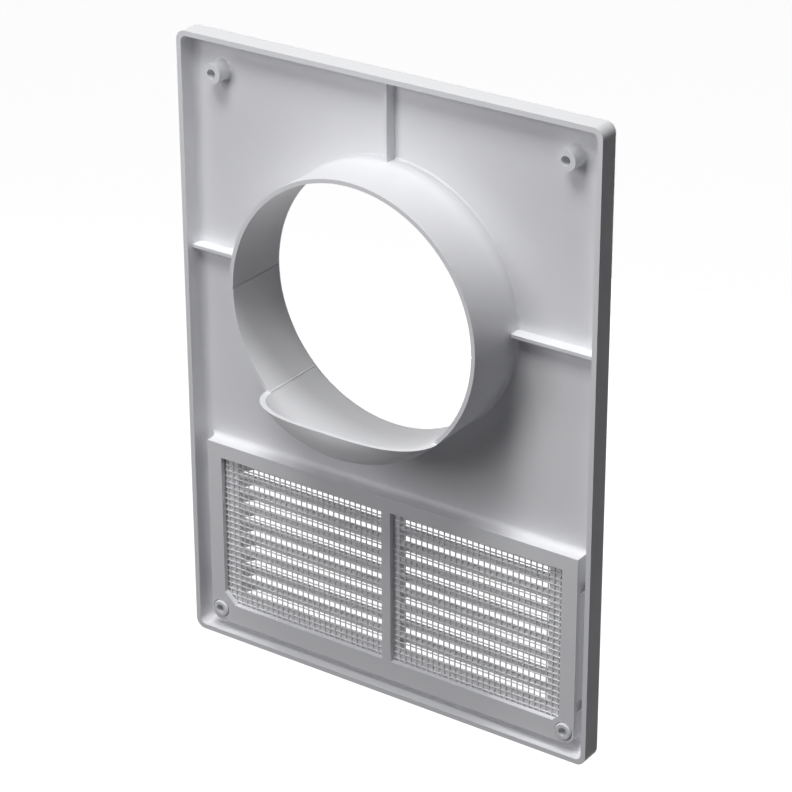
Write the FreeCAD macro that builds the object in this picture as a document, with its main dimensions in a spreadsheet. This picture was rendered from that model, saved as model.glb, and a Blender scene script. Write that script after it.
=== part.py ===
import FreeCAD, Part
import math
import os
import Sketcher

# Exhaust grille for a wall, with a spigot for a round 100 mm duct.
# X runs across, Z up, Y toward the room. The origin is on the spigot's axis,
# in the plane where the plate's rim stands on the wall. Heights are measured
# from the spigot's axis: "drop" means below it, "rise" above it. "Back" is the
# depth of a face that looks toward the wall.

doc = FreeCAD.newDocument("exhaust_grille")
sheet = doc.addObject("Spreadsheet::Sheet", "Sizes")

SIZES = [
    ("plate_width", 182.0),
    ("plate_height", 252.0),
    ("plate_depth", 10.0),
    ("axis_rise", 39.2),
    ("wall", 2.0),
    ("corner_radius", 4.0),
    ("front_round", 2.0),
    ("rim_fillet", 2.5),
    ("bore_radius", 52.2),
    ("spigot_wall", 1.6),
    ("spigot_reach", 20.0),
    ("spigot_foot", 0.7),
    ("mouth_round", 2.2),
    ("scoop_radius", 15.8),
    ("scoop_drop", 38.0),
    ("seam_radius", 0.5),
    ("seam_rise", 0.2),
    ("groove_radius", 0.35),
    ("web_thickness", 1.3),
    ("web_back", 3.0),
    ("upper_boss_in", 15.0),
    ("upper_boss_down", 14.8),
    ("upper_boss_radius", 3.9),
    ("upper_boss_back", 1.0),
    ("lower_boss_in", 4.4),
    ("lower_boss_up", 4.9),
    ("lower_boss_radius", 3.5),
    ("lower_boss_back", 1.5),
    ("boss_foot", 0.5),
    ("boss_bevel", 0.5),
    ("screw_hole_radius", 1.8),
    ("side_channel", 4.6),
    ("low_channel", 3.7),
    ("box_fillet", 2.1),
    ("frame_top_drop", 80.65),
    ("frame_back", 2.2),
    ("frame_thickness", 2.2),
    ("frame_corner", 4.4),
    ("frame_side_bar", 6.5),
    ("frame_top_bar", 6.05),
    ("frame_low_bar", 8.1),
    ("half_middle_bar", 2.0),
    ("left_chamfer", 5.0),
    ("right_chamfer", 2.8),
    ("boss_clearance", 0.3),
    ("screen_side_lap", 1.6),
    ("screen_end_lap", 2.0),
    ("screen_chamfer", 4.4),
    ("screen_thickness", 0.6),
    ("screen_gap", 0.2),
    ("ridge", 0.6),
    ("net_inset", 0.9),
    ("louvre_skin", 1.2),
    ("recess_in", 1.9),
    ("rib_half", 3.9),
    ("blade_pitch", 6.7),
    ("blade_wall", 1.7),
    ("first_lip_down", 5.7),
    ("slot_end_back", 5.0),
    ("slot_end_front", 8.0),
    ("overlap", 0.5),
    ("notch_width", 1.8),
    ("notch_bite", 1.0),
    ("notch_height", 4.1),
    ("notch_depth", 1.2),
    ("notch_down", 13.15),
    ("notch_spacing", 50.0),
]
line = 1
for name, value in SIZES:
    sheet.set("A%d" % line, name)
    sheet.set("B%d" % line, str(value))
    sheet.setAlias("B%d" % line, name)
    line += 1
doc.recompute()

NET_COLUMNS = 9
NET_ROWS = 6

# Levels along Y, the wall being at 0.
FLOOR_BACK = "(Sizes.plate_depth - Sizes.wall)"
BOX_BACK = "(Sizes.frame_back + Sizes.frame_thickness)"
SKIN_BACK = "(" + BOX_BACK + " + Sizes.screen_thickness)"
SKIN_FRONT = "(" + SKIN_BACK + " + Sizes.louvre_skin)"

# Places across (X) and up (Z) that several features share.
SPIGOT_RADIUS = "(Sizes.bore_radius + Sizes.spigot_wall)"
PLATE_SIDE = "(Sizes.plate_width / 2)"
PLATE_TOP = "(Sizes.plate_height / 2 - Sizes.axis_rise)"
PLATE_LOW = "(Sizes.plate_height / 2 + Sizes.axis_rise)"
FRAME_SIDE = "(" + PLATE_SIDE + " - Sizes.wall - Sizes.side_channel)"
FRAME_LOW = "(" + PLATE_LOW + " - Sizes.wall - Sizes.low_channel)"
WINDOW_SIDE = "(" + FRAME_SIDE + " - Sizes.frame_side_bar)"
WINDOW_TOP = "(Sizes.frame_top_drop + Sizes.frame_top_bar)"
WINDOW_LOW = "(" + FRAME_LOW + " - Sizes.frame_low_bar)"
SCREEN_SIDE = "(" + WINDOW_SIDE + " + Sizes.screen_side_lap)"
SCREEN_TOP = "(" + WINDOW_TOP + " - Sizes.screen_end_lap)"
SCREEN_LOW = "(" + WINDOW_LOW + " + Sizes.screen_end_lap)"
RECESS_SIDE = "(" + WINDOW_SIDE + " - Sizes.recess_in)"
FIRST_LIP = "(" + WINDOW_TOP + " + Sizes.first_lip_down)"
UPPER_BOSS_X = "(" + PLATE_SIDE + " - Sizes.upper_boss_in)"
UPPER_BOSS_Z = "(" + PLATE_TOP + " - Sizes.upper_boss_down)"
LOWER_BOSS_X = "(" + FRAME_SIDE + " - Sizes.lower_boss_in)"
LOWER_BOSS_Z = "(-1 * (" + FRAME_LOW + " - Sizes.lower_boss_up))"


def mm(name):
    return float(getattr(sheet, name))


def new_body(name):
    body = doc.addObject("PartDesign::Body", name)
    body.Label = name
    return body


def origin_item(body, role):
    for item in body.Origin.OriginFeatures:
        if item.Role == role:
            return item
    raise ValueError(role)


def new_sketch(body, name, depth=None, role="XZ_Plane"):
    sketch = body.newObject("Sketcher::SketchObject", name)
    sketch.AttachmentSupport = [(origin_item(body, role), "")]
    sketch.MapMode = "FlatFace"
    if depth is not None:
        sketch.setExpression("AttachmentOffset.Base.z", "-1 * " + depth)
    return sketch


def tie(sketch, kind, geometry, point, now, expression):
    if kind == "Radius":
        index = sketch.addConstraint(Sketcher.Constraint("Radius", geometry, now))
    else:
        index = sketch.addConstraint(Sketcher.Constraint(kind, -1, 1, geometry, point, now))
    label = "size_%d" % index
    sketch.renameConstraint(index, label)
    sketch.setExpression("Constraints." + label, expression)


def polygon(sketch, points):
    # The corners start on a circle and are then drawn to their places.
    first = sketch.GeometryCount
    count = len(points)
    start = []
    for i in range(count):
        turn = 2.0 * math.pi * (i + 0.2) / count
        start.append(FreeCAD.Vector(30.0 * math.cos(turn), 30.0 * math.sin(turn), 0))
    for i in range(count):
        sketch.addGeometry(Part.LineSegment(start[i], start[(i + 1) % count]), False)
    for i in range(count):
        after = first + (i + 1) % count
        sketch.addConstraint(Sketcher.Constraint("Coincident", first + i, 2, after, 1))
    for i in range(count):
        tie(sketch, "DistanceX", first + i, 1, start[i].x, points[i][0])
        tie(sketch, "DistanceY", first + i, 1, start[i].y, points[i][1])


def rectangle(sketch, left, right, low, high):
    polygon(sketch, [(right, low), (right, high), (left, high), (left, low)])


def circle(sketch, across, up, radius):
    centre = FreeCAD.Vector(20, 20, 0)
    index = sketch.addGeometry(Part.Circle(centre, FreeCAD.Vector(0, 0, 1), 5.0), False)
    tie(sketch, "DistanceX", index, 3, 20.0, across)
    tie(sketch, "DistanceY", index, 3, 20.0, up)
    tie(sketch, "Radius", index, 0, 5.0, radius)


def pad(body, name, sketch, length):
    item = body.newObject("PartDesign::Pad", name)
    item.Profile = sketch
    item.Type = "Length"
    item.setExpression("Length", length)
    item.Reversed = True
    doc.recompute()
    return item


def pocket(body, name, sketch, length=None, toward_wall=False):
    before = body.Shape.Volume
    item = body.newObject("PartDesign::Pocket", name)
    item.Profile = sketch
    if length is None:
        item.Type = "ThroughAll"
    else:
        item.Type = "Length"
        item.setExpression("Length", length)
    item.Reversed = toward_wall
    doc.recompute()
    if item.Shape.Volume >= before - 0.01:
        raise ValueError(name + " removes nothing")
    return item


def dress(body, kind, name, base, edges, size):
    item = body.newObject("PartDesign::" + kind, name)
    item.Base = (base, edges)
    item.setExpression("Radius" if kind == "Fillet" else "Size", size)
    doc.recompute()
    return item


def edges_where(shape, test):
    found = []
    for i, edge in enumerate(shape.Edges):
        if test(edge):
            found.append("Edge%d" % (i + 1))
    if not found:
        raise ValueError("no edge found")
    return found


def near(a, b):
    return abs(a - b) < 0.01


def along_depth(edge):
    box = edge.BoundBox
    return near(box.XLength, 0) and near(box.ZLength, 0) and box.YLength > 0.1


def at_depth(edge, y):
    box = edge.BoundBox
    return near(box.YMin, y) and near(box.YMax, y)


def within(edge, outline):
    box = edge.BoundBox
    across = box.XMin > outline.XMin - 0.01 and box.XMax < outline.XMax + 0.01
    return across and box.ZMin > outline.ZMin - 0.01 and box.ZMax < outline.ZMax + 0.01


def ring_at(edge, y, radius):
    if edge.Degenerated or not isinstance(edge.Curve, Part.Circle):
        return False
    return near(edge.Curve.Radius, radius) and at_depth(edge, y)


def low_corners(shape, outline):
    def test(edge):
        box = edge.BoundBox
        side = near(box.XMin, outline.XMin) or near(box.XMin, outline.XMax)
        return along_depth(edge) and side and near(box.ZMin, outline.ZMin)
    return edges_where(shape, test)


def line_pattern(body, name, role, pitch, count, reverse=False):
    pattern = body.newObject("PartDesign::LinearPattern", name)
    pattern.Direction = (origin_item(body, role), [""])
    pattern.Reversed = reverse
    pattern.setExpression("Length", "%d * %s" % (count - 1, pitch))
    pattern.Occurrences = count
    return pattern


SIDES = (("1", "right"), ("-1", "left"))


# The flat frame that holds the insect screen down on the plate's raised box.
frame = new_body("screen_frame")
frame_sketch = new_sketch(frame, "frame_outline", "Sizes.frame_back")
rectangle(frame_sketch, "-1 * " + FRAME_SIDE, FRAME_SIDE, "-1 * " + FRAME_LOW, "-1 * Sizes.frame_top_drop")
item = pad(frame, "frame_sheet", frame_sketch, "Sizes.frame_thickness")
frame_outline = frame_sketch.Shape.BoundBox
dress(frame, "Fillet", "frame_corners", item, low_corners(item.Shape, frame_outline), "Sizes.frame_corner")
window_sketch = new_sketch(frame, "window_outlines", "Sizes.frame_back")
for side, word in SIDES:
    corner = "Sizes." + word + "_chamfer"
    polygon(window_sketch, [
        (side + " * Sizes.half_middle_bar", "-1 * " + WINDOW_LOW),
        (side + " * (" + WINDOW_SIDE + " - " + corner + ")", "-1 * " + WINDOW_LOW),
        (side + " * " + WINDOW_SIDE, "-1 * (" + WINDOW_LOW + " - " + corner + ")"),
        (side + " * " + WINDOW_SIDE, "-1 * " + WINDOW_TOP),
        (side + " * Sizes.half_middle_bar", "-1 * " + WINDOW_TOP),
    ])
pocket(frame, "windows", window_sketch)
sketch = new_sketch(frame, "boss_hole_circles", "Sizes.frame_back")
for side, word in SIDES:
    circle(sketch, side + " * " + LOWER_BOSS_X, LOWER_BOSS_Z, "Sizes.lower_boss_radius + Sizes.boss_clearance")
pocket(frame, "boss_holes", sketch)


# The outline of the screen, and of its rebate with a gap all round.
def screen_outline(sketch, gap):
    edge = "(" + SCREEN_SIDE + " + " + gap + ")"
    top = "(" + SCREEN_TOP + " - " + gap + ")"
    low = "(" + SCREEN_LOW + " + " + gap + ")"
    polygon(sketch, [
        (edge, "-1 * (" + low + " - Sizes.screen_chamfer)"),
        (edge, "-1 * " + top),
        ("-1 * " + edge, "-1 * " + top),
        ("-1 * " + edge, "-1 * (" + low + " - Sizes.screen_chamfer)"),
        ("-1 * (" + edge + " - Sizes.screen_chamfer)", "-1 * " + low),
        (edge + " - Sizes.screen_chamfer", "-1 * " + low),
    ])


# The insect screen: one thin sheet of crossing ridges, cut away beside the lower bosses.
screen = new_body("insect_screen")
sketch = new_sketch(screen, "screen_outline", BOX_BACK)
screen_outline(sketch, "0")
pad(screen, "screen_sheet", sketch, "Sizes.screen_thickness")
PITCH_ACROSS = "((" + WINDOW_SIDE + " - Sizes.half_middle_bar - Sizes.net_inset) / %d)" % NET_COLUMNS
PITCH_UP = "((" + WINDOW_LOW + " - " + WINDOW_TOP + " - Sizes.net_inset) / %d)" % NET_ROWS
sketch = new_sketch(screen, "gap_outline", BOX_BACK)
rectangle(sketch, "Sizes.half_middle_bar + Sizes.ridge", "Sizes.half_middle_bar + " + PITCH_ACROSS,
          "-1 * (" + WINDOW_TOP + " + " + PITCH_UP + ")", "-1 * (" + WINDOW_TOP + " + Sizes.ridge)")
gap = pocket(screen, "gap", sketch)
net = screen.newObject("PartDesign::MultiTransform", "gaps")
net.Originals = [gap]
mirror = screen.newObject("PartDesign::Mirrored", "gaps_mirrored")
mirror.MirrorPlane = (origin_item(screen, "YZ_Plane"), [""])
net.Transformations = [
    line_pattern(screen, "gaps_across", "X_Axis", PITCH_ACROSS, NET_COLUMNS),
    line_pattern(screen, "gaps_down", "Z_Axis", PITCH_UP, NET_ROWS, True),
    mirror,
]
screen.Tip = net
doc.recompute()

# The raised box round the louvres, on its own patch of floor, so that the
# blend at its foot is complete before the rim's blend is joined to it.
floor_y = mm("plate_depth") - mm("wall")
front_y = mm("plate_depth")
spigot_radius = mm("bore_radius") + mm("spigot_wall")
foot = new_body("box_foot")
sketch = new_sketch(foot, "patch_outline", FLOOR_BACK)
rectangle(sketch, "-1 * (" + PLATE_SIDE + " - Sizes.wall)", PLATE_SIDE + " - Sizes.wall",
          "-1 * (" + PLATE_LOW + " - Sizes.wall)", "-1 * (Sizes.frame_top_drop - 5 * Sizes.wall)")
pad(foot, "patch", sketch, "Sizes.wall / 2")
sketch = new_sketch(foot, "box_outline", BOX_BACK)
rectangle(sketch, "-1 * " + FRAME_SIDE, FRAME_SIDE, "-1 * " + FRAME_LOW, "-1 * Sizes.frame_top_drop")
item = pad(foot, "box", sketch, FLOOR_BACK + " - " + BOX_BACK + " + Sizes.wall / 2")
item = dress(foot, "Fillet", "box_corners", item, low_corners(item.Shape, frame_outline), "Sizes.frame_corner")
dress(foot, "Fillet", "box_blend", item,
      edges_where(item.Shape, lambda e: at_depth(e, floor_y) and within(e, frame_outline)),
      "Sizes.box_fillet")

# The plate: an open tray that stands on the wall on its rim.
plate = new_body("wall_plate")
sketch = new_sketch(plate, "plate_outline")
rectangle(sketch, "-1 * " + PLATE_SIDE, PLATE_SIDE, "-1 * " + PLATE_LOW, PLATE_TOP)
item = pad(plate, "plate_block", sketch, "Sizes.plate_depth")
item = dress(plate, "Fillet", "plate_corners", item, edges_where(item.Shape, along_depth),
             "Sizes.corner_radius")
item = dress(plate, "Fillet", "front_edge", item,
             edges_where(item.Shape, lambda e: at_depth(e, front_y)), "Sizes.front_round")
sketch = new_sketch(plate, "tray_outline")
rectangle(sketch, "-1 * (" + PLATE_SIDE + " - Sizes.wall)", PLATE_SIDE + " - Sizes.wall",
          "-1 * (" + PLATE_LOW + " - Sizes.wall)", PLATE_TOP + " - Sizes.wall")
item = pocket(plate, "tray", sketch, FLOOR_BACK)
tray_outline = sketch.Shape.BoundBox
item = dress(plate, "Fillet", "rim_blend", item,
             edges_where(item.Shape, lambda e: near(e.BoundBox.YMax, floor_y) and within(e, tray_outline)),
             "Sizes.rim_fillet")
joined = plate.newObject("PartDesign::Boolean", "box_joined")
joined.Type = "Fuse"
joined.setObjects([foot])
doc.recompute()

# The spigot, its mouth in the plate and the bevel round its foot.
sketch = new_sketch(plate, "spigot_ring", "(-1 * Sizes.spigot_reach)")
circle(sketch, "0", "0", SPIGOT_RADIUS)
circle(sketch, "0", "0", "Sizes.bore_radius")
pad(plate, "spigot", sketch, "Sizes.spigot_reach + " + FLOOR_BACK + " + Sizes.wall / 2")
sketch = new_sketch(plate, "bore_circle")
circle(sketch, "0", "0", "Sizes.bore_radius")
item = pocket(plate, "bore", sketch)
item = dress(plate, "Fillet", "mouth_edge", item,
             edges_where(item.Shape, lambda e: ring_at(e, front_y, mm("bore_radius"))), "Sizes.mouth_round")
dress(plate, "Chamfer", "spigot_bevel", item,
      edges_where(item.Shape, lambda e: ring_at(e, floor_y, spigot_radius)), "Sizes.spigot_foot")

# The scoop: a quarter round turned about the spigot's axis, kept below one level.
sketch = new_sketch(plate, "scoop_section", role="YZ_Plane")
reach = mm("spigot_reach")
centre_rise = spigot_radius - mm("scoop_radius")
centre = FreeCAD.Vector(-reach, centre_rise, 0)
arcs = []
for radius, text in ((mm("scoop_radius"), "Sizes.scoop_radius"),
                     (mm("scoop_radius") - mm("spigot_wall"), "Sizes.scoop_radius - Sizes.spigot_wall")):
    full = Part.Circle(centre, FreeCAD.Vector(0, 0, 1), radius)
    arc = sketch.addGeometry(Part.ArcOfCircle(full, math.pi / 2, math.pi), False)
    tie(sketch, "DistanceX", arc, 3, -reach, "-1 * Sizes.spigot_reach")
    tie(sketch, "DistanceY", arc, 3, centre_rise, SPIGOT_RADIUS + " - Sizes.scoop_radius")
    tie(sketch, "Radius", arc, 0, radius, text)
    sketch.addConstraint(Sketcher.Constraint("Vertical", arc, 3, arc, 1))
    sketch.addConstraint(Sketcher.Constraint("Horizontal", arc, 3, arc, 2))
    arcs.append(arc)
for end in (1, 2):
    closing = Part.LineSegment(sketch.getPoint(arcs[0], end), sketch.getPoint(arcs[1], end))
    index = sketch.addGeometry(closing, False)
    sketch.addConstraint(Sketcher.Constraint("Coincident", index, 1, arcs[0], end))
    sketch.addConstraint(Sketcher.Constraint("Coincident", index, 2, arcs[1], end))
item = plate.newObject("PartDesign::Revolution", "scoop_turned")
item.Profile = sketch
item.ReferenceAxis = (sketch, ["H_Axis"])
item.Angle = 360.0
doc.recompute()
sketch = new_sketch(plate, "scoop_trim_area", "(-1 * (Sizes.spigot_reach + Sizes.scoop_radius + Sizes.wall))")
CLEAR = "(" + SPIGOT_RADIUS + " + Sizes.wall)"
rectangle(sketch, "-1 * " + CLEAR, CLEAR, "-1 * Sizes.scoop_drop", CLEAR)
pocket(plate, "scoop_trim", sketch, "Sizes.scoop_radius + Sizes.wall")

# Fine seams along the bore, level with the scoop's lip. Each is the part of a
# round bar that stands out of the bore's wall.
sketch = new_sketch(plate, "seam_circles", "(-1 * Sizes.spigot_reach)")
SEAM_RADIUS = "(Sizes.bore_radius + Sizes.seam_radius - Sizes.seam_rise)"
for side, word in SIDES:
    circle(sketch, side + " * sqrt(" + SEAM_RADIUS + " ^ 2 - Sizes.scoop_drop ^ 2)",
           "-1 * Sizes.scoop_drop", "Sizes.seam_radius")
pad(plate, "seams", sketch, "Sizes.spigot_reach + " + FLOOR_BACK)

# A fine groove along each side of the bore, level with the side webs.
sketch = new_sketch(plate, "groove_circles", "(-1 * Sizes.spigot_reach)")
for side, word in SIDES:
    circle(sketch, side + " * Sizes.bore_radius", "0", "Sizes.groove_radius")
pocket(plate, "grooves", sketch, "Sizes.spigot_reach + " + FLOOR_BACK)

# Three webs between the spigot and the rim.
sketch = new_sketch(plate, "web_outlines", "Sizes.web_back")
MID_SPIGOT = "(Sizes.bore_radius + Sizes.spigot_wall / 2)"
for side, word in SIDES:
    rectangle(sketch, side + " * (" + PLATE_SIDE + " - Sizes.wall / 2)", side + " * " + MID_SPIGOT,
              "-1 * Sizes.web_thickness / 2", "Sizes.web_thickness / 2")
rectangle(sketch, "-1 * Sizes.web_thickness / 2", "Sizes.web_thickness / 2",
          MID_SPIGOT, PLATE_TOP + " - Sizes.wall / 2")
pad(plate, "webs", sketch, FLOOR_BACK + " - Sizes.web_back + Sizes.wall / 2")

# The rebate for the insect screen, then the recess for the louvres on the room side.
window_outline = window_sketch.Shape.BoundBox
slots = int((window_outline.ZLength - mm("first_lip_down")) / mm("blade_pitch")) + 1
blades = slots + 1
sketch = new_sketch(plate, "rebate_outline", BOX_BACK)
screen_outline(sketch, "Sizes.screen_gap")
pocket(plate, "screen_rebate", sketch, "Sizes.screen_thickness")
sketch = new_sketch(plate, "recess_outline", "Sizes.plate_depth")
LAST_LIP = "(" + FIRST_LIP + " + %d * Sizes.blade_pitch)" % (blades - 1)
for side, word in SIDES:
    rectangle(sketch, side + " * Sizes.rib_half", side + " * " + RECESS_SIDE,
              "-1 * (" + LAST_LIP + " - Sizes.blade_wall / 2)", "-1 * " + SCREEN_TOP)
pocket(plate, "louvre_recess", sketch, "Sizes.plate_depth - " + SKIN_FRONT, True)


# A wedge with a level underside and a sloping top, which narrows toward the
# room. It reaches from near the middle rib to a sloping outer end.
def wedge(name, kind, side, inner, outer, back_height, front_height):
    item = plate.newObject("PartDesign::" + kind, name)
    near_end = side + " * " + inner
    far_back = side + " * (" + RECESS_SIDE + " - Sizes.slot_end_back + " + outer + ")"
    far_front = side + " * (" + RECESS_SIDE + " - Sizes.slot_end_front + " + outer + ")"
    if side == "1":
        ends = [("Xmin", near_end), ("Xmax", far_back), ("X2min", near_end), ("X2max", far_front)]
    else:
        ends = [("Xmin", far_back), ("Xmax", near_end), ("X2min", far_front), ("X2max", near_end)]
    level = "-1 * " + FIRST_LIP
    heights = [("Zmin", level), ("Zmax", level + " + " + back_height),
               ("Z2min", level), ("Z2max", level + " + " + front_height)]
    for key, text in ends + heights + [("Ymin", SKIN_BACK), ("Ymax", "Sizes.plate_depth")]:
        item.setExpression(key, text)
    doc.recompute()
    return item


# Hooded blades at 45 degrees: outer wedges in a row, all but the lowest hollowed from behind.
for kind, count, inner, outer, back_height, front_height in (
        ("AdditiveWedge", blades, "(Sizes.rib_half - Sizes.overlap)", "Sizes.blade_wall",
         "Sizes.blade_pitch", "Sizes.blade_wall"),
        ("SubtractiveWedge", slots, "Sizes.rib_half", "0",
         "(Sizes.blade_pitch - Sizes.blade_wall)", "0")):
    for side, word in SIDES:
        name = ("blade_" if kind == "AdditiveWedge" else "slot_") + word
        item = wedge(name, kind, side, inner, outer, back_height, front_height)
        row = line_pattern(plate, name + "_row", "Z_Axis", "Sizes.blade_pitch", count, True)
        row.Originals = [item]
        plate.Tip = row
        doc.recompute()

# Four notches beside the raised box, each a bite out of the box's side and of the floor.
sketch = new_sketch(plate, "notch_outlines", BOX_BACK)
for side, word in SIDES:
    for place in ("0", "1"):
        level = "-1 * (Sizes.frame_top_drop + Sizes.notch_down + " + place + " * Sizes.notch_spacing)"
        rectangle(sketch, side + " * (" + FRAME_SIDE + " - Sizes.notch_bite)",
                  side + " * (" + FRAME_SIDE + " + Sizes.notch_width)",
                  level + " - Sizes.notch_height / 2", level + " + Sizes.notch_height / 2")
pocket(plate, "notches", sketch, FLOOR_BACK + " - " + BOX_BACK + " + Sizes.notch_depth")

# Four screw bosses, the lower two standing on the raised box.
sketch = new_sketch(plate, "upper_boss_circles", "Sizes.upper_boss_back")
for side, word in SIDES:
    circle(sketch, side + " * " + UPPER_BOSS_X, UPPER_BOSS_Z, "Sizes.upper_boss_radius")
item = pad(plate, "upper_bosses", sketch, FLOOR_BACK + " - Sizes.upper_boss_back + Sizes.wall / 2")
dress(plate, "Chamfer", "upper_boss_feet", item,
      edges_where(item.Shape, lambda e: ring_at(e, floor_y, mm("upper_boss_radius"))), "Sizes.boss_foot")
sketch = new_sketch(plate, "lower_boss_circles", "Sizes.lower_boss_back")
for side, word in SIDES:
    circle(sketch, side + " * " + LOWER_BOSS_X, LOWER_BOSS_Z, "Sizes.lower_boss_radius")
item = pad(plate, "lower_bosses", sketch, BOX_BACK + " - Sizes.lower_boss_back + Sizes.wall / 2")
boss_top = mm("lower_boss_back")
dress(plate, "Chamfer", "lower_boss_bevels", item,
      edges_where(item.Shape, lambda e: ring_at(e, boss_top, mm("lower_boss_radius"))), "Sizes.boss_bevel")
sketch = new_sketch(plate, "screw_hole_circles")
for side, word in SIDES:
    circle(sketch, side + " * " + UPPER_BOSS_X, UPPER_BOSS_Z, "Sizes.screw_hole_radius")
    circle(sketch, side + " * " + LOWER_BOSS_X, LOWER_BOSS_Z, "Sizes.screw_hole_radius")
pocket(plate, "screw_holes", sketch)

# Every object is checked, then each piece is written.
for item in doc.Objects:
    for state in item.State:
        if state in ("Invalid", "Error"):
            raise ValueError(item.Name + " is " + state)

os.makedirs("parts", exist_ok=True)
for body in (plate, frame, screen):
    shape = body.Shape
    if shape.isNull() or not shape.isValid():
        raise ValueError(body.Label + " has a faulty shape")
    if len(shape.Solids) != 1:
        raise ValueError(body.Label + " has %d solids" % len(shape.Solids))
    shape.exportStep("parts/" + body.Label + ".step")
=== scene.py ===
"""A white plastic exhaust grille seen from its wall side: moulded plate, screen frame and insect net."""

import math

import bpy
from mathutils import Matrix, Vector


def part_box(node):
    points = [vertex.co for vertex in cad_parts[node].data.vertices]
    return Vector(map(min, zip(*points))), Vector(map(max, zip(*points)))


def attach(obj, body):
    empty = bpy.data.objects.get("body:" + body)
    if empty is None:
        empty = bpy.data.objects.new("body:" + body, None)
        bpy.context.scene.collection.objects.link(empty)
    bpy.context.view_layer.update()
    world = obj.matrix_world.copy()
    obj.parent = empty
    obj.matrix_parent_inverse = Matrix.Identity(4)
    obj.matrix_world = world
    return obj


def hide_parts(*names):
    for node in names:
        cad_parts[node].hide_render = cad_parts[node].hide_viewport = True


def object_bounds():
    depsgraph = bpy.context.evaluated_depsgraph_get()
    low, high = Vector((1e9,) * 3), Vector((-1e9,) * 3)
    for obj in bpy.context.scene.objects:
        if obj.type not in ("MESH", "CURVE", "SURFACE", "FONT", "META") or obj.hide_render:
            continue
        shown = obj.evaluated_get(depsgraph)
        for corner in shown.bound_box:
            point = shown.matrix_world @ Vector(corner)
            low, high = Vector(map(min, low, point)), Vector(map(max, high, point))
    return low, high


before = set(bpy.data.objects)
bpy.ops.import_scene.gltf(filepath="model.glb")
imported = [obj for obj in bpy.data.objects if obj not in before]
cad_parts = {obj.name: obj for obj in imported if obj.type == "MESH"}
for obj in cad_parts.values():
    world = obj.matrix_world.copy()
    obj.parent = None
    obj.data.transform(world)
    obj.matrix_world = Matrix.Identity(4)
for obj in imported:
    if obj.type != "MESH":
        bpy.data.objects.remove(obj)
cad_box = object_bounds()
MM = 0.001


class Value:
    """A socket in a node tree, written into sums as if it were a number."""

    def __init__(self, tree, socket):
        self.tree = tree
        self.socket = socket

    def math(self, operation, other=None, first=False):
        """What a maths node makes of this socket and another value, which comes first if asked."""
        values = [self] if other is None else [other, self] if first else [self, other]
        return Nodes(self.tree).add("ShaderNodeMath", {"operation": operation}, dict(enumerate(values)))

    def __add__(self, other):
        return self.math("ADD", other)

    def __radd__(self, other):
        return self.math("ADD", other, first=True)

    def __sub__(self, other):
        return self.math("SUBTRACT", other)

    def __rsub__(self, other):
        return self.math("SUBTRACT", other, first=True)

    def __mul__(self, other):
        return self.math("MULTIPLY", other)

    def __rmul__(self, other):
        return self.math("MULTIPLY", other, first=True)

    def __truediv__(self, other):
        return self.math("DIVIDE", other)

    def __rtruediv__(self, other):
        return self.math("DIVIDE", other, first=True)

    def __gt__(self, other):
        return self.math("GREATER_THAN", other)

    def __lt__(self, other):
        return self.math("LESS_THAN", other)


class Nodes:
    """Adds nodes to a tree: a type, its settings first, then the values or links of its sockets."""

    def __init__(self, tree):
        self.tree = tree

    def add(self, kind, settings=None, sockets=None, out=0):
        node = self.tree.nodes.new(kind)
        for name, setting in (settings or {}).items():
            setattr(node, name, setting)
        for place, value in (sockets or {}).items():
            if isinstance(value, Value):
                self.tree.links.new(value.socket, node.inputs[place])
            else:
                node.inputs[place].default_value = value
        return Value(self.tree, node.outputs[out]) if len(node.outputs) else node


def new_material(name):
    material = bpy.data.materials.new(name)
    material.use_nodes = True
    material.node_tree.nodes.clear()
    return material, Nodes(material.node_tree)


def noise(nodes, place, scale, detail):
    return nodes.add("ShaderNodeTexNoise", sockets={"Vector": place, "Scale": scale, "Detail": detail})


def between(nodes, share, shade, colour):
    """A colour that goes from the shade to the full colour as the share goes up."""
    return nodes.add(
        "ShaderNodeMix", {"data_type": "RGBA"}, {0: share, 6: (*shade, 1), 7: (*colour, 1)}, out=2)


def plastic_surface(nodes, tint, roughness, bump):
    surface = nodes.add("ShaderNodeBsdfPrincipled", sockets={
        "Base Color": tint, "Roughness": roughness, "Specular IOR Level": 0.4, "IOR": 1.49, "Normal": bump})
    nodes.add("ShaderNodeOutputMaterial", sockets={"Surface": surface})


def moulded_plastic(name, colour, shade, roughness, grain, waviness):
    """Smooth white moulding: faint flow clouds, a fine grain from the tool and slow sink waves."""
    polish_swing = 0.12
    cloud_swing = 0.06
    material, nodes = new_material(name)
    place = nodes.add("ShaderNodeTexCoord", out="Object")
    clouds = noise(nodes, place, 22.0, 3.0)
    polish = noise(nodes, place, 160.0, 4.0)
    tool_grain = noise(nodes, place, 2600.0, 2.0)
    sink = noise(nodes, place, 34.0, 1.0)
    height = sink * waviness + tool_grain * grain
    bump = nodes.add("ShaderNodeBump", sockets={"Strength": 0.5, "Distance": 0.2 * MM, "Height": height})
    plastic_surface(nodes, between(nodes, clouds, shade, colour),
                    roughness + (polish - 0.5) * polish_swing + (clouds - 0.5) * cloud_swing, bump)
    return material


def strand_plastic(name, colour, roughness):
    """The net's drawn strands: the same white, with fine streaks and slow patches a little duller."""
    dull_share = 0.94
    streak_swing = 0.15
    material, nodes = new_material(name)
    place = nodes.add("ShaderNodeTexCoord", out="Object")
    streaks = noise(nodes, place, 900.0, 2.0)
    patches = noise(nodes, place, 60.0, 2.0)
    dull = tuple(dull_share * part for part in colour)
    bump = nodes.add("ShaderNodeBump", sockets={"Strength": 0.3, "Distance": 0.04 * MM, "Height": streaks})
    plastic_surface(nodes, between(nodes, patches, dull, colour),
                    roughness + (streaks - 0.5) * streak_swing, bump)
    return material


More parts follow.
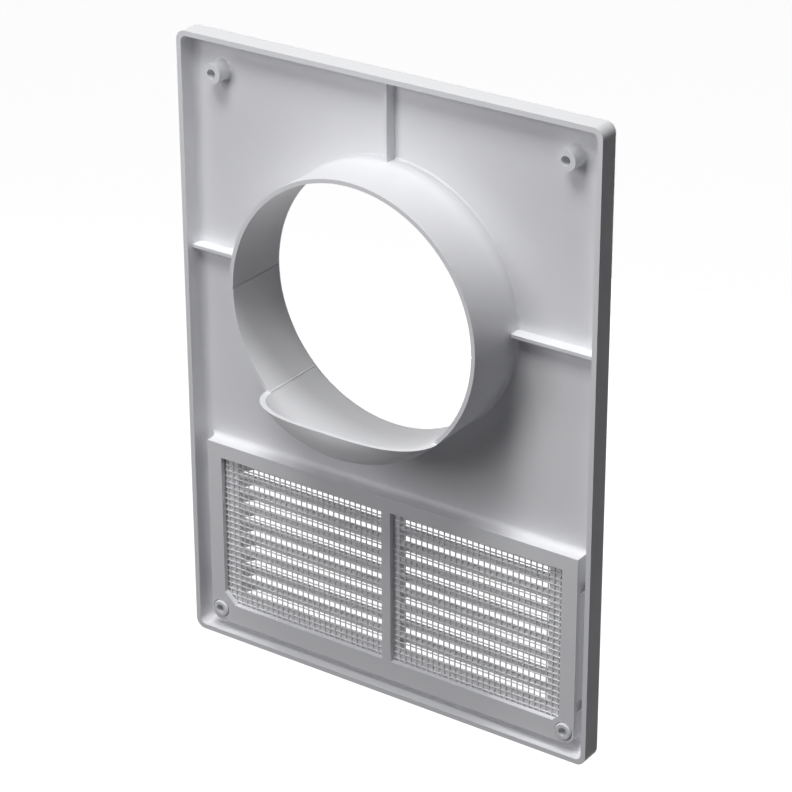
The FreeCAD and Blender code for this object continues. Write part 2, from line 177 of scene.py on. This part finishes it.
plate_plastic = moulded_plastic("plate_plastic", (0.84, 0.843, 0.86), (0.815, 0.82, 0.84),
                                roughness=0.42, grain=0.10, waviness=0.5)
frame_plastic = moulded_plastic("frame_plastic", (0.83, 0.833, 0.85), (0.80, 0.805, 0.825),
                                roughness=0.46, grain=0.16, waviness=0.3)
net_plastic = strand_plastic("net_plastic", (0.88, 0.882, 0.89), roughness=0.45)
for node_name, material in (("wall_plate", plate_plastic), ("screen_frame", frame_plastic)):
    for surface_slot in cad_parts[node_name].material_slots:
        surface_slot.material = material


def net_tree():
    """Woven net in the plane of its sheet: flat strands that wave over one and under the next."""
    tree = bpy.data.node_groups.new("woven_net", "GeometryNodeTree")
    tree.interface.new_socket("Geometry", in_out="OUTPUT", socket_type="NodeSocketGeometry")
    for name in ("Side", "Low", "Corner", "Depth", "Pitch Across", "Pitch Up",
                 "First Column", "First Row", "Half Width", "Half Thickness", "Wave"):
        tree.interface.new_socket(name, in_out="INPUT", socket_type="NodeSocketFloat")
    for name in ("Columns", "Rows", "Steps", "Sides"):
        tree.interface.new_socket(name, in_out="INPUT", socket_type="NodeSocketInt")
    tree.interface.new_socket("Plastic", in_out="INPUT", socket_type="NodeSocketMaterial")
    nodes = Nodes(tree)
    entry = nodes.add("NodeGroupInput").socket.node
    given = {socket.name: Value(tree, socket) for socket in entry.outputs if socket.name}

    def point(x, y, z):
        return nodes.add("ShaderNodeCombineXYZ", sockets={0: x, 1: y, 2: z})

    def strands(count, end, step, cells, upright):
        """Equal strands side by side, from the net's first crossing on, cut off at the lower corners."""
        line = nodes.add("GeometryNodeCurvePrimitiveLine", sockets={"End": end})
        fine = nodes.add("GeometryNodeResampleCurve", sockets={
            "Curve": line, "Count": cells * given["Steps"] + 1})
        feet = nodes.add("GeometryNodeMeshLine", sockets={
            "Count": count, "Offset": step,
            "Start Location": point(given["First Column"], given["Depth"], given["First Row"])})
        copies = nodes.add("GeometryNodeInstanceOnPoints", sockets={"Points": feet, "Instance": fine})
        laid = nodes.add("GeometryNodeRealizeInstances", sockets={"Geometry": copies})
        place = nodes.add("GeometryNodeInputPosition")
        across = nodes.add("ShaderNodeSeparateXYZ", sockets={"Vector": place}, out="X")
        up = nodes.add("ShaderNodeSeparateXYZ", sockets={"Vector": place}, out="Z")
        turn = (across - given["First Column"]) / given["Pitch Across"]
        turn = turn + (up - given["First Row"]) / given["Pitch Up"]
        rise = (turn * math.pi).math("COSINE") * (given["Wave"] * (1.0 if upright else -1.0))
        waved = nodes.add("GeometryNodeSetPosition", sockets={
            "Geometry": laid, "Offset": point(0.0, rise, 0.0)})
        reach = across.math("ABSOLUTE") - (up - given["Low"])
        trimmed = nodes.add("GeometryNodeDeleteGeometry", {"domain": "POINT"}, {
            "Geometry": waved, "Selection": reach > given["Side"] - given["Corner"]})
        ring = nodes.add("GeometryNodeCurvePrimitiveCircle", {"mode": "RADIUS"}, {
            "Resolution": given["Sides"], "Radius": 1.0})
        section = nodes.add("GeometryNodeTransform", sockets={
            "Geometry": ring, "Scale": point(given["Half Width"], given["Half Thickness"], 1.0),
            "Rotation": (0.0, 0.0, 0.0 if upright else math.pi / 2)})
        return nodes.add("GeometryNodeCurveToMesh", sockets={
            "Curve": trimmed, "Profile Curve": section, "Fill Caps": True})

    columns, rows = given["Columns"], given["Rows"]
    height = (rows - 1) * given["Pitch Up"]
    width = (columns - 1) * given["Pitch Across"]
    upright_strands = strands(
        columns, point(0.0, 0.0, height), point(given["Pitch Across"], 0.0, 0.0), rows - 1, True)
    level_strands = strands(
        rows, point(width, 0.0, 0.0), point(0.0, 0.0, given["Pitch Up"]), columns - 1, False)
    both = nodes.add("GeometryNodeJoinGeometry", sockets={"Geometry": upright_strands})
    tree.links.new(level_strands.socket, both.socket.node.inputs["Geometry"])
    whole = nodes.add("GeometryNodeRealizeInstances", sockets={"Geometry": both})
    faceted = nodes.add("GeometryNodeSetShadeSmooth", sockets={"Geometry": whole, "Shade Smooth": False})
    finished = nodes.add("GeometryNodeSetMaterial", sockets={
        "Geometry": faceted, "Material": given["Plastic"]})
    nodes.add("NodeGroupOutput", sockets={"Geometry": finished})
    return tree


def grown(tree, name, sizes):
    """An object whose plain mesh is what the tree makes from these sizes."""
    holder = bpy.data.objects.new(name + "_seed", bpy.data.meshes.new(name + "_seed"))
    bpy.context.scene.collection.objects.link(holder)
    modifier = holder.modifiers.new(name, "NODES")
    modifier.node_group = tree
    sockets = {item.name: item.identifier for item in tree.interface.items_tree if item.in_out == "INPUT"}
    for size_name, size in sizes.items():
        modifier[sockets[size_name]] = size
    graph = bpy.context.evaluated_depsgraph_get()
    mesh = bpy.data.meshes.new_from_object(holder.evaluated_get(graph), depsgraph=graph)
    for slot in reversed(range(len(mesh.materials))):
        if mesh.materials[slot] is None:
            mesh.materials.pop(index=slot)
    holder.modifiers.remove(modifier)
    bpy.data.objects.remove(holder)
    piece = bpy.data.objects.new(name, mesh)
    bpy.context.scene.collection.objects.link(piece)
    return piece


# The woven net takes the place of the plain sheet, with its strands where the photo shows them
low_corner, high_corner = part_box("insect_screen")
PITCH_ACROSS = 2.54 * MM
PITCH_UP = 2.5 * MM
LEFTMOST_SEEN = -76.7 * MM
TOPMOST_SEEN = -90.5 * MM
COLUMNS = 63
ROWS = 28
ROWS_BELOW_TOPMOST = 25
net = grown(net_tree(), "woven_net", {
    "Side": high_corner.x, "Low": low_corner.z, "Corner": 4.4 * MM,
    "Depth": (low_corner.y + high_corner.y) / 2, "Pitch Across": PITCH_ACROSS, "Pitch Up": PITCH_UP,
    "First Column": LEFTMOST_SEEN - PITCH_ACROSS, "First Row": TOPMOST_SEEN - ROWS_BELOW_TOPMOST * PITCH_UP,
    "Half Width": 0.33 * MM, "Half Thickness": 0.22 * MM, "Wave": 0.05 * MM,
    "Columns": COLUMNS, "Rows": ROWS, "Steps": 3, "Sides": 6, "Plastic": net_plastic})
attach(net, "root")
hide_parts("insect_screen")


def looked_at(nodes):
    """1 for what the camera sees, straight, mirrored or through glass, and 0 for what only gives light."""
    seen = nodes.add("ShaderNodeLightPath", out="Is Camera Ray")
    mirrored = nodes.add("ShaderNodeLightPath", out="Is Glossy Ray")
    through = nodes.add("ShaderNodeLightPath", out="Is Transmission Ray")
    return seen.math("MAXIMUM", mirrored.math("MAXIMUM", through))


def pale_floor(height, reach):
    """A wide pale floor below the grille: white to the eye, dim to the light, and open from underneath."""
    material, nodes = new_material("pale_floor")
    white = nodes.add("ShaderNodeEmission", sockets={"Color": (1, 1, 1, 1), "Strength": 0.95})
    paint = nodes.add("ShaderNodeBsdfDiffuse", sockets={"Color": (0.35, 0.35, 0.35, 1)})
    dim = nodes.add("ShaderNodeBsdfDiffuse", sockets={"Color": (0.16, 0.16, 0.18, 1)})
    lit = nodes.add("ShaderNodeAddShader", sockets={0: white, 1: paint})
    shown = nodes.add("ShaderNodeMixShader", sockets={0: looked_at(nodes), 1: dim, 2: lit})
    under = nodes.add("ShaderNodeNewGeometry", out="Backfacing")
    clear = nodes.add("ShaderNodeBsdfTransparent")
    surface = nodes.add("ShaderNodeMixShader", sockets={0: under, 1: shown, 2: clear})
    nodes.add("ShaderNodeOutputMaterial", sockets={"Surface": surface})
    corners = [(x * reach, y * reach, height) for x, y in ((-1, -1), (1, -1), (1, 1), (-1, 1))]
    mesh = bpy.data.meshes.new("floor")
    mesh.from_pydata(corners, [], [(0, 1, 2, 3)])
    mesh.materials.append(material)
    floor = bpy.data.objects.new("floor", mesh)
    bpy.context.scene.collection.objects.link(floor)


def studio_world(ambient):
    """White to the eye, with only a faint light of its own."""
    world = bpy.data.worlds.new("studio")
    world.use_nodes = True
    world.node_tree.nodes.clear()
    nodes = Nodes(world.node_tree)
    soft = nodes.add("ShaderNodeBackground", sockets={"Color": (*ambient, 1), "Strength": 1.0})
    white = nodes.add("ShaderNodeBackground", sockets={"Color": (1, 1, 1, 1), "Strength": 1.0})
    sky = nodes.add("ShaderNodeMixShader", sockets={0: looked_at(nodes), 1: soft, 2: white})
    nodes.add("ShaderNodeOutputWorld", sockets={"Surface": sky})
    bpy.context.scene.world = world


def softbox(name, towards, distance, size, power, colour=(1, 1, 1)):
    """A square lamp that stands off from the grille's middle along a direction and faces it."""
    middle = Vector((0, 0, -39 * MM))
    lamp = bpy.data.lights.new(name, "AREA")
    lamp.shape = "SQUARE"
    lamp.size = size
    lamp.energy = power
    lamp.color = colour
    holder = bpy.data.objects.new(name, lamp)
    direction = Vector(towards).normalized()
    holder.location = middle + direction * distance
    holder.rotation_euler = (-direction).to_track_quat("-Z", "Y").to_euler()
    bpy.context.scene.collection.objects.link(holder)


def photo_camera():
    """The photo's camera, as it was solved from the plate's corners and the round spigot."""
    place = Matrix.Translation((0.56682, -0.80670, 0.44714))
    turn = Matrix.Rotation(math.radians(35.099), 4, "Z")
    tip = Matrix.Rotation(math.radians(90 - 25.565), 4, "X")
    roll = Matrix.Rotation(math.radians(-0.3037), 4, "Z")
    lens = bpy.data.cameras.new("photo_camera")
    lens.sensor_width = 36.0
    lens.lens = 135.94
    lens.shift_x = 0.0188
    lens.shift_y = -0.0400
    camera = bpy.data.objects.new("photo_camera", lens)
    camera.matrix_world = place @ turn @ tip @ roll
    bpy.context.scene.collection.objects.link(camera)
    bpy.context.scene.camera = camera


FLOOR_DROP = 0.5
pale_floor(height=cad_box[0].z - FLOOR_DROP, reach=6)
studio_world(ambient=(0.004, 0.003, 0.006))
softbox("key_lamp", towards=(0, -0.47, 0.883), distance=0.85, size=0.28, power=2.8)
softbox("front_fill", towards=(-0.28, -0.85, 0.45), distance=0.95, size=0.42, power=2.75,
        colour=(0.985, 0.98, 1.0))
softbox("top_lamp", towards=(0.03, -0.12, 1.0), distance=1.6, size=0.25, power=9.8)
softbox("room_side_fill", towards=(-0.25, 1.0, -0.25), distance=1.6, size=0.7, power=8.0)
photo_camera()
bpy.context.scene.view_settings.view_transform = "Standard"
